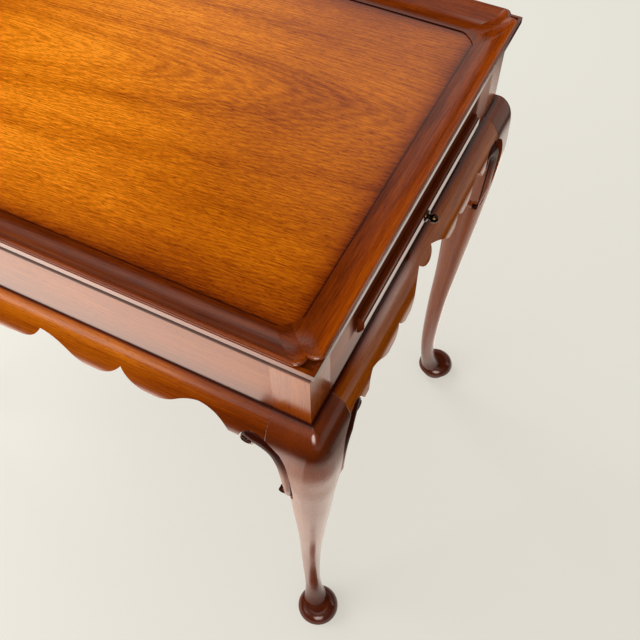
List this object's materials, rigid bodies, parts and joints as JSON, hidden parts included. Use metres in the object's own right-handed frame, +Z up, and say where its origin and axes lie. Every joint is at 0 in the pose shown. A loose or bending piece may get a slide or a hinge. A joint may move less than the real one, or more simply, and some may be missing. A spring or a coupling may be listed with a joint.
{
  "type": "tray top tea table",
  "caption": "Queen Anne tea table: coved tray rim with notched corners, plain frieze, scalloped skirt, cabriole legs with pad feet and a pull-out candle slide at each end.",
  "frame": {"origin": "on the floor under the middle of the table", "axes": "+X along the length of the table, +Y towards the back, +Z up"},
  "size_m": [0.7508, 0.4848, 0.6664],
  "materials": {
    "top_mahogany": "polished mahogany, high gloss shellac",
    "moulding_mahogany": "polished mahogany, darker stain",
    "frieze_mahogany": "polished mahogany",
    "skirt_mahogany": "polished mahogany",
    "leg_mahogany": "polished mahogany, dark stain",
    "slide_mahogany": "satin mahogany",
    "slide_front_mahogany": "polished mahogany",
    "knob_brass": "aged brass",
    "screw_steel": "plain steel",
    "secondary_oak": "raw planed wood"
  },
  "bodies": {
    "table": {"tray_panel": "top_mahogany", "tray_moulding_front": "moulding_mahogany", "tray_moulding_back": "moulding_mahogany", "tray_moulding_left": "moulding_mahogany", "tray_moulding_right": "moulding_mahogany", "frieze_rail_front": "frieze_mahogany", "frieze_rail_back": "frieze_mahogany", "frieze_rail_left": "frieze_mahogany", "frieze_rail_right": "frieze_mahogany", "skirt_front": "skirt_mahogany", "skirt_back": "skirt_mahogany", "skirt_left": "skirt_mahogany", "skirt_right": "skirt_mahogany", "glue_block_front": "secondary_oak", "glue_block_back": "secondary_oak", "glue_block_left": "secondary_oak", "glue_block_right": "secondary_oak", "leg_front_left": "leg_mahogany", "leg_front_right": "leg_mahogany", "leg_back_left": "leg_mahogany", "leg_back_right": "leg_mahogany", "knee_return_front_left_long": "leg_mahogany", "knee_return_front_left_end": "leg_mahogany", "knee_return_front_right_long": "leg_mahogany", "knee_return_front_right_end": "leg_mahogany", "knee_return_back_left_long": "leg_mahogany", "knee_return_back_left_end": "leg_mahogany", "knee_return_back_right_long": "leg_mahogany", "knee_return_back_right_end": "leg_mahogany", "slide_runner_left_front": "secondary_oak", "slide_runner_left_back": "secondary_oak", "slide_runner_right_front": "secondary_oak", "slide_runner_right_back": "secondary_oak", "top_cleat_front": "secondary_oak", "top_cleat_back": "secondary_oak", "top_screws": "screw_steel"},
    "left_slide": {"slide_board_left": "slide_mahogany", "slide_front_left": "slide_front_mahogany", "slide_knob_left": "knob_brass", "slide_stop_left": "secondary_oak"},
    "right_slide": {"slide_board_right": "slide_mahogany", "slide_front_right": "slide_front_mahogany", "slide_knob_right": "knob_brass", "slide_stop_right": "secondary_oak"}
  },
  "joints": [
    {"name": "left_slide_travel", "type": "slide", "parent": "table", "child": "left_slide", "axis": [-1, 0, 0], "range_m": [0, 0.2]},
    {"name": "right_slide_travel", "type": "slide", "parent": "table", "child": "right_slide", "axis": [1, 0, 0], "range_m": [0, 0.2]}
  ]
}
